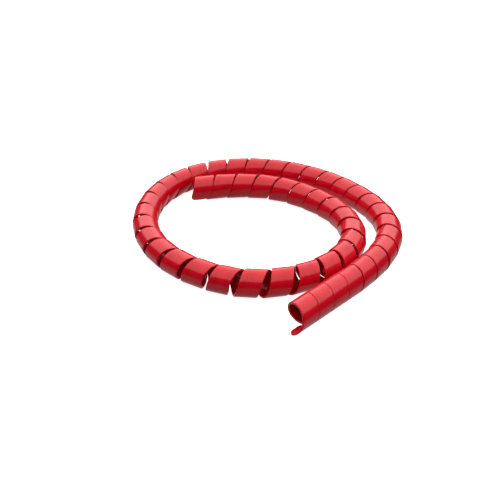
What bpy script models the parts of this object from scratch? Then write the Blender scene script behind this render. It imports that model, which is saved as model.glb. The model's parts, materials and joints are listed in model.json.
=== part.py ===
"""Spiral hose guard: one left-handed plastic strip, lying flat on the floor in a loose spiral.

The strip is divided into its turns. Each turn is a stiff band, and it swings on the next one about
a vertical line in the middle of the strip, on the side of the guard that faces the spiral's centre.

Local axes of a turn: +X along the guard towards its tail, -Y towards the spiral's centre, +Z up.
The origin is on the hinge to the turn before it, half a wall deep.
"""

import math

import bmesh
import bpy
from mathutils import Matrix

MM = 0.001

# The strip
OUTER_RADIUS = 16.0 * MM
WALL = 2.5 * MM
STRIP_WIDTH = 25.0 * MM
CLOSED_PITCH = 25.6 * MM
STRETCHED_PITCH = 28.4 * MM
STRETCHED_TURNS = range(18, 25)
CUT_GAP = 0.3 * MM

# The facets of one turn, which put a level facet at the bottom and the cuts on facet edges
STEPS = 22
STEP_ANGLE = 2 * math.pi / STEPS
INNER_END_FIRST_STEP = -3
TAIL_END_LAST_STEP = 17

# The lay, from the inner end to the tail: (number of turns, bend of each from the turn before)
FIRST_HINGE = (-80.90 * MM, 106.88 * MM)
FIRST_HEADING = math.radians(13.5)
BENDS = (
    (2, 9.5),
    (2, 15.0),
    (2, 9.0),
    (2, 13.0),
    (2, 17.0),
    (2, 12.5),
    (2, 15.0),
    (2, 17.0),
    (2, 11.5),
    (4, 11.0),
    (2, 10.5),
    (2, 12.0),
    (2, 14.5),
    (2, 13.0),
    (2, 10.5),
    (2, 8.5),
    (2, 7.0),
    (2, 10.5),
    (2, 13.5),
    (2, 8.0),
    (2, 3.5),
    (3, 0.0),
)

HINGE_RADIUS = OUTER_RADIUS - WALL / 2
AXIS_HEIGHT = OUTER_RADIUS * math.cos(STEP_ANGLE / 2)
TURN_BENDS = [0.0] + [math.radians(bend) for count, bend in BENDS for _ in range(count)]
TURN_COUNT = len(TURN_BENDS)

PLASTIC_COLOUR = (0.58, 0.004, 0.012, 1.0)
PLASTIC_ROUGHNESS = 0.38


def clear_scene():
    for old in list(bpy.data.objects):
        bpy.data.objects.remove(old, do_unlink=True)


def make_plastic():
    material = bpy.data.materials.new("guard_plastic")
    material.use_nodes = True
    shader = material.node_tree.nodes["Principled BSDF"]
    shader.inputs["Base Color"].default_value = PLASTIC_COLOUR
    shader.inputs["Roughness"].default_value = PLASTIC_ROUGHNESS
    shader.inputs["Metallic"].default_value = 0.0
    return material


def turn_name(number):
    if number == 1:
        return "inner_end_turn"
    if number == TURN_COUNT:
        return "tail_end_turn"
    return f"turn_{number:02d}"


def turn_pitch(number):
    return STRETCHED_PITCH if number in STRETCHED_TURNS else CLOSED_PITCH


def turn_steps(number):
    """The first and last facet edge of a turn, counted from the cut that starts a full turn."""
    first = INNER_END_FIRST_STEP if number == 1 else 0
    last = TAIL_END_LAST_STEP if number == TURN_COUNT else STEPS
    return first, last


def level_cut(mesh, step, pitch, height):
    """Lay the end face of the strip at this facet edge flat, so that the next turn clears it."""
    middle = pitch * step / STEPS
    for vertex in mesh.vertices:
        along, across, up = vertex.co
        if across < 0 and abs(up) < WALL / 2 and abs(along - middle) < STRIP_WIDTH / 2 + CUT_GAP:
            vertex.co.z = height


def band_mesh(name, pitch, first, last):
    """The strip between two facet edges, wound left-handed about the guard's axis."""
    start = first * STEP_ANGLE
    bm = bmesh.new()
    corners = [
        bm.verts.new((pitch * first / STEPS + side * STRIP_WIDTH / 2, -OUTER_RADIUS, 0.0))
        for side in (-1, 1)
    ]
    bm.edges.new(corners)
    bmesh.ops.rotate(bm, verts=corners, cent=(0, 0, 0), matrix=Matrix.Rotation(-start, 3, "X"))
    profile = bpy.data.meshes.new(name + "_profile")
    bm.to_mesh(profile)
    bm.free()

    strip = bpy.data.objects.new(name + "_strip", profile)
    bpy.context.collection.objects.link(strip)
    screw = strip.modifiers.new("winding", "SCREW")
    screw.axis = "X"
    screw.angle = -STEP_ANGLE * (last - first)
    screw.screw_offset = pitch * (last - first) / STEPS
    screw.steps = last - first
    screw.render_steps = last - first
    screw.merge_threshold = 0.00001
    wall = strip.modifiers.new("wall", "SOLIDIFY")
    wall.thickness = WALL
    wall.offset = -1.0
    wall.use_even_offset = True

    evaluated = strip.evaluated_get(bpy.context.evaluated_depsgraph_get())
    mesh = bpy.data.meshes.new_from_object(evaluated)
    mesh.name = name
    bpy.data.objects.remove(strip, do_unlink=True)
    bpy.data.meshes.remove(profile)
    if first == 0:
        level_cut(mesh, first, pitch, CUT_GAP / 2)
    if last == STEPS:
        level_cut(mesh, last, pitch, -CUT_GAP / 2)
    mesh.transform(Matrix.Translation((0, HINGE_RADIUS, 0)))
    mesh.shade_smooth()
    mesh.set_sharp_from_angle(angle=math.radians(40))
    return mesh


def make_guard(collection, plastic):
    """A chain of turns, each placed on the end of the one before and bent towards the centre."""
    shapes = {}
    previous = None
    for number in range(1, TURN_COUNT + 1):
        first, last = turn_steps(number)
        pitch = turn_pitch(number)
        if (pitch, first, last) not in shapes:
            shapes[pitch, first, last] = band_mesh(turn_name(number) + "_band", pitch, first, last)
            shapes[pitch, first, last].materials.append(plastic)
        turn = bpy.data.objects.new(turn_name(number), shapes[pitch, first, last])
        collection.objects.link(turn)
        if previous is None:
            turn.location = (*FIRST_HINGE, AXIS_HEIGHT)
            turn.rotation_euler.z = FIRST_HEADING
        else:
            turn.parent = previous
            turn.location = (turn_pitch(number - 1), 0, 0)
            turn.rotation_euler.z = -TURN_BENDS[number - 1]
        previous = turn


def main():
    clear_scene()
    guard = bpy.data.collections.new("spiral_hose_guard")
    bpy.context.scene.collection.children.link(guard)
    make_guard(guard, make_plastic())


main()
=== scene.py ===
"""Looks of the spiral hose guard: one continuous plastic strip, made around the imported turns.

The strip is swept along a left-handed helix. A place along it is counted in turns: each whole number
is at the bottom of the guard, a quarter turn further is the side that faces the spiral's centre, where
the hinges are, then come the top and the outer side. Hinge 0 is where turn 1 would start.
"""

import json
import math

import bpy
import numpy as np
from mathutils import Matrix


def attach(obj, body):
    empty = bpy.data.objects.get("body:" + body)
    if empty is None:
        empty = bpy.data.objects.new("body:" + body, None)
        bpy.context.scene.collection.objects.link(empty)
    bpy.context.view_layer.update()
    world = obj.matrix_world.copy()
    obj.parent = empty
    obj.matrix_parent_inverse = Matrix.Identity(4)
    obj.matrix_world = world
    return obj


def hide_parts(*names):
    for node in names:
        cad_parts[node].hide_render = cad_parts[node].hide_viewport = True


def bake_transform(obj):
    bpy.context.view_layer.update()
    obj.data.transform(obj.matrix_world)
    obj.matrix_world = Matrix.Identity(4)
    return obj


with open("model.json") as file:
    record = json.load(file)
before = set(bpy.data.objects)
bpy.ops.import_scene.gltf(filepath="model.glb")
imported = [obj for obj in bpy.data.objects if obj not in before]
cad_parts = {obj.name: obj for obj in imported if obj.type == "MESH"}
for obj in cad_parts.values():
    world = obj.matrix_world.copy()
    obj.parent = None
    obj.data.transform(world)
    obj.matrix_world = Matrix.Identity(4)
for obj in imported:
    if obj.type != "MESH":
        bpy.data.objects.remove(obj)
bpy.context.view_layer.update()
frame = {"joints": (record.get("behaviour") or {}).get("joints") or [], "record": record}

MM = 0.001

# The strip. It takes its radius from the height of the axis, because the CAD rests on its facets.
# It is 0.3 mm wider than the CAD's, and wider again by WIDENING times the stretch of a stretched turn
AXIS_HEIGHT = frame["joints"][0]["pos_m"][2]
OUTER_RADIUS = AXIS_HEIGHT
HINGE_RADIUS = 14.75 * MM
WALL = 2.5 * MM
STRIP_WIDTH = 25.3 * MM
WIDENING = 0.75
EDGE_ROUNDING = 0.8 * MM
CORNER_ROUNDING = 9.0 * MM
STRIP_START = 0.125
STRIP_END = 48.0
TURN_LENGTH = 2 * math.pi * OUTER_RADIUS
HINGE_PLACE = 0.25
BEND_HALF_HEIGHT = 12.5 * MM

# The fineness of the mesh. LEAST_ROW_GAP is in turns
ROWS_A_TURN = 80
FACE_POINTS = 7
EDGE_SEGMENTS = 3
CORNER_ROWS = 9
LEAST_ROW_GAP = 0.002

# The plastic. Scales are waves a metre along and across the strip, and heights are in metres
PLASTIC_IOR = 1.5
PLASTIC_SPECULAR = 0.29
DEEP_RED = (0.43, 0.0, 0.006, 1.0)
PALE_RED = (0.50, 0.001, 0.010, 1.0)
ROUGHNESS_RANGE = (0.16, 0.21)
NOISE_RANGE = (0.3, 0.7)
WAVE_SCALE = (45.0, 90.0)
WAVE_HEIGHT = 0.06 * MM
DIE_LINE_SCALE = (6.0, 1500.0)
DIE_LINE_HEIGHT = 0.005 * MM
GRAIN_SCALE = (2500.0, 3500.0)
GRAIN_HEIGHT = 0.002 * MM

# The camera and the light. FLOOR_LIGHT_STARTS and FLOOR_LIGHT_FULL are the Z of a direction
CAMERA_PLACE = (-0.03158, -0.91939, 0.51289)
CAMERA_TILT = math.radians(61.083)
CAMERA_LENS = 65.62
SOFTBOX_AXIS = (0.0, math.sin(math.radians(14.5)), math.cos(math.radians(14.5)))
SOFTBOX_HALF_ANGLE = math.radians(63.5)
SOFTBOX_SOFTNESS = math.radians(4.0)
SOFTBOX_LIGHT = 2.35
ROOM_LIGHT = 0.08
FLOOR_LIGHT = 0.55
FLOOR_LIGHT_STARTS = -0.15
FLOOR_LIGHT_FULL = -0.4
BACKDROP = 0.95
WHITE = (1.0, 1.0, 1.0, 1.0)
FLOOR_COLOUR = (0.8, 0.8, 0.8, 1.0)
FLOOR_ROUGHNESS = 0.9
FLOOR_GLOW = 0.85
FLOOR_SIZE = 30.0
FLOOR_DROP = 0.2 * MM


# ---- The route, read from the hinges ----


def direction(heading):
    return np.array([math.cos(heading), math.sin(heading)])


def guard_route():
    """Hinges 0 to 48 in plan, and the heading and pitch of turns 1 to 48."""
    hinges = np.array([joint["pos_m"][:2] for joint in frame["joints"]])
    runs = np.diff(hinges, axis=0)
    headings = np.unwrap(np.arctan2(runs[:, 1], runs[:, 0]))
    first = 2 * headings[0] - headings[1]
    last = 2 * headings[-1] - headings[-2]
    headings = np.concatenate(([first], headings, [last]))
    pitches = np.pad(np.hypot(runs[:, 0], runs[:, 1]), 1, "edge")
    start = hinges[0] - pitches[0] * direction(first)
    end = hinges[-1] + pitches[-1] * direction(last)
    return np.vstack([start, hinges, end]), headings, pitches


HINGES, HEADINGS, PITCHES = guard_route()
BODIES = list(frame["record"]["behaviour"]["bodies"])
TURN_COUNT = len(BODIES)


# ---- The strip ----


def section():
    """The outline of the strip's cross-section: across its width, and in from its outer face."""
    side = STRIP_WIDTH / 2 - EDGE_ROUNDING
    face = np.linspace(-side, side, FACE_POINTS)[1:-1]
    arc = np.linspace(0, math.pi / 2, EDGE_SEGMENTS + 1)
    low, high = EDGE_ROUNDING, WALL - EDGE_ROUNDING
    across = np.concatenate([
        face,
        side + EDGE_ROUNDING * np.sin(arc),
        side + EDGE_ROUNDING * np.cos(arc),
        face[::-1],
        -side - EDGE_ROUNDING * np.sin(arc),
        -side - EDGE_ROUNDING * np.cos(arc),
    ])
    depth = np.concatenate([
        np.zeros_like(face),
        low - EDGE_ROUNDING * np.cos(arc),
        high + EDGE_ROUNDING * np.sin(arc),
        np.full_like(face, WALL),
        high + EDGE_ROUNDING * np.cos(arc),
        low - EDGE_ROUNDING * np.sin(arc),
    ])
    return across, depth


def end_taper(turns):
    """How much narrower each row is than the whole strip, for the rounded corners of its ends."""
    to_end = np.minimum(turns - STRIP_START, STRIP_END - turns) * TURN_LENGTH
    inside = np.clip(CORNER_ROUNDING - to_end, 0, CORNER_ROUNDING)
    cut = CORNER_ROUNDING - np.sqrt(CORNER_ROUNDING**2 - inside**2)
    return 1 - 2 * cut / STRIP_WIDTH


def strip_widening(turns):
    """The strip is drawn a little wider where the turns are stretched, so that their gaps stay narrow."""
    middles = np.arange(TURN_COUNT) + HINGE_PLACE + 0.5
    stretch = np.interp(turns, middles, PITCHES) / PITCHES.min()
    return 1 + WIDENING * (stretch - 1)


def strip_points(turns):
    """One row of points for each place along the strip."""
    across, depth = section()
    hinge = np.floor(turns).astype(int)
    share = (turns - hinge)[:, None]
    before = np.clip(hinge - 1, 0, TURN_COUNT - 1)
    after = np.clip(hinge, 0, TURN_COUNT - 1)
    pitch = np.where(share < HINGE_PLACE, PITCHES[before][:, None], PITCHES[after][:, None])
    across = across * (end_taper(turns) * strip_widening(turns))[:, None]
    along = pitch * (share - HINGE_PLACE) + across
    radius = OUTER_RADIUS - depth
    outward = HINGE_RADIUS - radius * np.sin(2 * math.pi * share)
    height = -radius * np.cos(2 * math.pi * share)
    bent = np.clip((height / BEND_HALF_HEIGHT + 1) / 2, 0, 1)
    bent = np.where(share > 0.5, 1, bent * bent * (3 - 2 * bent))
    heading = HEADINGS[before][:, None] + bent * (HEADINGS[after] - HEADINGS[before])[:, None]
    x = HINGES[hinge, 0][:, None] + along * np.cos(heading) - outward * np.sin(heading)
    y = HINGES[hinge, 1][:, None] + along * np.sin(heading) + outward * np.cos(heading)
    return np.stack([x, y, AXIS_HEIGHT + height], axis=-1)


def strip_rows(first, last):
    """Places along the strip from first to last, closer together at its rounded ends."""
    rows = np.linspace(first, last, math.ceil((last - first) * ROWS_A_TURN) + 1)
    corner = CORNER_ROUNDING / TURN_LENGTH
    ease = corner * (1 - np.cos(np.linspace(0, math.pi / 2, CORNER_ROWS)))
    if first == STRIP_START:
        rows = np.concatenate([first + ease, rows[rows > first + corner + LEAST_ROW_GAP]])
    if last == STRIP_END:
        rows = np.concatenate([rows[rows < last - corner - LEAST_ROW_GAP], last - ease[::-1]])
    return rows


def unit(vectors):
    return vectors / np.linalg.norm(vectors, axis=-1, keepdims=True)


def strip_piece(name, first, last, material):
    """The strip between two places, as a closed body whose shading runs on into its neighbours."""
    rows = strip_rows(first, last)
    step = 1 / ROWS_A_TURN
    padded = np.concatenate(([rows[0] - step], rows, [rows[-1] + step]))
    points = strip_points(np.clip(padded, STRIP_START, STRIP_END))
    ahead = points[2:] - points[:-2]
    points = points[1:-1]
    around = np.roll(points, -1, axis=1) - np.roll(points, 1, axis=1)
    normals = unit(np.cross(around, ahead)).reshape(-1, 3)

    count, width = points.shape[:2]
    row, column = np.meshgrid(np.arange(count - 1), np.arange(width), indexing="ij")
    corner = (row * width + column).ravel()
    beside = (row * width + (column + 1) % width).ravel()
    quads = np.stack([corner, beside, beside + width, corner + width], axis=1)
    start_cap = np.arange(width)[::-1]
    end_cap = np.arange(width) + (count - 1) * width
    mesh = bpy.data.meshes.new(name)
    faces = quads.tolist() + [start_cap.tolist(), end_cap.tolist()]
    mesh.from_pydata(points.reshape(-1, 3).tolist(), [], faces)
    mesh.shade_smooth()
    corners = np.concatenate([quads.ravel(), start_cap, end_cap])
    shading = normals[corners]
    shading[-2 * width:-width] = -unit(ahead[0].mean(axis=0))
    shading[-width:] = unit(ahead[-1].mean(axis=0))
    lengthwise = np.repeat(rows * TURN_LENGTH, width)
    sideways = np.tile(section()[0], count)
    places = mesh.uv_layers.new(name="strip")
    places.data.foreach_set("uv", np.stack([lengthwise, sideways], axis=1)[corners].ravel())
    mesh.normals_split_custom_set(shading.tolist())
    mesh.materials.append(material)
    piece = bpy.data.objects.new(name, mesh)
    bpy.context.scene.collection.objects.link(piece)
    return piece


def make_strip(material):
    """The outer half of each turn is stiff and fixed to its turn's body; the half between the bottom and
    the top is a separate piece, baked in place and fixed to no body.
    """
    for number, body in enumerate(BODIES, start=1):
        first = STRIP_START if number == 1 else number - 0.5
        last = STRIP_END if number == TURN_COUNT else number
        outer = strip_piece(f"strip_outer_{number:02d}", first, last, material)
        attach(outer, body)
        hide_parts(*frame["record"]["behaviour"]["bodies"][body])
    for number, (body, following) in enumerate(zip(BODIES, BODIES[1:]), start=1):
        inner = strip_piece(f"strip_inner_{number:02d}", number, number + 0.5, material)
        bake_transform(inner)


# ---- Material ----


def noise(nodes, links, places, scale, detail):
    """Noise over the strip. scale is how many waves a metre it has along and across the strip."""
    stretch = nodes.new("ShaderNodeMapping")
    stretch.inputs["Scale"].default_value = (scale[0], scale[1], 1.0)
    links.new(places.outputs["UV"], stretch.inputs["Vector"])
    texture = nodes.new("ShaderNodeTexNoise")
    texture.noise_dimensions = "2D"
    texture.inputs["Scale"].default_value = 1.0
    texture.inputs["Detail"].default_value = detail
    links.new(stretch.outputs["Vector"], texture.inputs["Vector"])
    return texture.outputs["Fac"]


def spread(nodes, links, value, low, high):
    """A noise's value, whose usual range is laid out between low and high."""
    node = nodes.new("ShaderNodeMapRange")
    node.inputs["From Min"].default_value = NOISE_RANGE[0]
    node.inputs["From Max"].default_value = NOISE_RANGE[1]
    node.inputs["To Min"].default_value = low
    node.inputs["To Max"].default_value = high
    links.new(value, node.inputs["Value"])
    return node.outputs["Result"]


def bump(nodes, links, height, distance, under=None):
    node = nodes.new("ShaderNodeBump")
    node.inputs["Strength"].default_value = 1.0
    node.inputs["Distance"].default_value = distance
    links.new(height, node.inputs["Height"])
    if under is not None:
        links.new(under, node.inputs["Normal"])
    return node.outputs["Normal"]


def make_plastic():
    """Glossy red polyethylene with the fine lines that the die leaves along the strip."""
    material = bpy.data.materials.new("guard_plastic_red")
    material.use_nodes = True
    nodes, links = material.node_tree.nodes, material.node_tree.links
    shader = nodes["Principled BSDF"]
    shader.inputs["IOR"].default_value = PLASTIC_IOR
    shader.inputs["Specular IOR Level"].default_value = PLASTIC_SPECULAR
    places = nodes.new("ShaderNodeUVMap")
    places.uv_map = "strip"

    die_lines = noise(nodes, links, places, DIE_LINE_SCALE, 2.0)
    waves = noise(nodes, links, places, WAVE_SCALE, 2.0)
    grain = noise(nodes, links, places, GRAIN_SCALE, 1.0)

    tint = nodes.new("ShaderNodeMix")
    tint.data_type = "RGBA"
    tint.inputs["A"].default_value = DEEP_RED
    tint.inputs["B"].default_value = PALE_RED
    links.new(spread(nodes, links, waves, 0.0, 1.0), tint.inputs["Factor"])
    links.new(tint.outputs["Result"], shader.inputs["Base Color"])
    links.new(spread(nodes, links, die_lines, *ROUGHNESS_RANGE), shader.inputs["Roughness"])

    surface = bump(nodes, links, waves, WAVE_HEIGHT)
    surface = bump(nodes, links, die_lines, DIE_LINE_HEIGHT, surface)
    surface = bump(nodes, links, grain, GRAIN_HEIGHT, surface)
    links.new(surface, shader.inputs["Normal"])
    return material


# ---- Stage ----


def make_floor():
    """White paper that shines by itself. Reflections and bounced light leave it out."""
    bpy.ops.mesh.primitive_plane_add(size=FLOOR_SIZE, location=(0, 0, -FLOOR_DROP))
    floor = bpy.context.object
    floor.name = "floor"
    material = bpy.data.materials.new("floor_paper")
    material.use_nodes = True
    shader = material.node_tree.nodes["Principled BSDF"]
    shader.inputs["Base Color"].default_value = FLOOR_COLOUR
    shader.inputs["Roughness"].default_value = FLOOR_ROUGHNESS
    shader.inputs["Specular IOR Level"].default_value = 0.0
    shader.inputs["Emission Color"].default_value = WHITE
    shader.inputs["Emission Strength"].default_value = FLOOR_GLOW
    floor.data.materials.append(material)
    floor.visible_glossy = False
    floor.visible_diffuse = False


def softbox(nodes, links, toward):
    """A round softbox overhead, leaning back, in a dim room."""
    facing = nodes.new("ShaderNodeVectorMath")
    facing.operation = "DOT_PRODUCT"
    facing.inputs[1].default_value = SOFTBOX_AXIS
    links.new(toward, facing.inputs[0])
    edge = nodes.new("ShaderNodeMapRange")
    edge.interpolation_type = "SMOOTHSTEP"
    edge.inputs["From Min"].default_value = math.cos(SOFTBOX_HALF_ANGLE + SOFTBOX_SOFTNESS)
    edge.inputs["From Max"].default_value = math.cos(SOFTBOX_HALF_ANGLE - SOFTBOX_SOFTNESS)
    edge.inputs["To Min"].default_value = ROOM_LIGHT
    edge.inputs["To Max"].default_value = SOFTBOX_LIGHT
    links.new(facing.outputs["Value"], edge.inputs["Value"])
    return edge.outputs["Result"]


def floor_bounce(nodes, links, toward):
    """The light that the floor throws back, seen in directions that point down."""
    height = nodes.new("ShaderNodeSeparateXYZ")
    links.new(toward, height.inputs["Vector"])
    ground = nodes.new("ShaderNodeMapRange")
    ground.inputs["From Min"].default_value = FLOOR_LIGHT_STARTS
    ground.inputs["From Max"].default_value = FLOOR_LIGHT_FULL
    ground.inputs["To Max"].default_value = FLOOR_LIGHT
    links.new(height.outputs["Z"], ground.inputs["Value"])
    return ground.outputs["Result"]


def make_light():
    """The softbox and the floor's light, and an even backdrop that only the camera sees."""
    world = bpy.data.worlds.new("studio")
    bpy.context.scene.world = world
    world.use_nodes = True
    nodes, links = world.node_tree.nodes, world.node_tree.links
    background = nodes["Background"]
    toward = nodes.new("ShaderNodeTexCoord").outputs["Generated"]
    around = nodes.new("ShaderNodeMath")
    links.new(softbox(nodes, links, toward), around.inputs[0])
    links.new(floor_bounce(nodes, links, toward), around.inputs[1])
    path = nodes.new("ShaderNodeLightPath")
    shown = nodes.new("ShaderNodeMix")
    shown.inputs["B"].default_value = BACKDROP
    links.new(path.outputs["Is Camera Ray"], shown.inputs["Factor"])
    links.new(around.outputs["Value"], shown.inputs["A"])
    links.new(shown.outputs["Result"], background.inputs["Strength"])
    background.inputs["Color"].default_value = WHITE


def make_camera():
    camera = bpy.data.objects.new("camera", bpy.data.cameras.new("camera"))
    bpy.context.scene.collection.objects.link(camera)
    camera.location = CAMERA_PLACE
    camera.rotation_euler = (CAMERA_TILT, 0.0, 0.0)
    camera.data.lens = CAMERA_LENS
    bpy.context.scene.camera = camera
    bpy.context.scene.view_settings.view_transform = "Standard"


make_camera()
make_strip(make_plastic())
make_floor()
make_light()
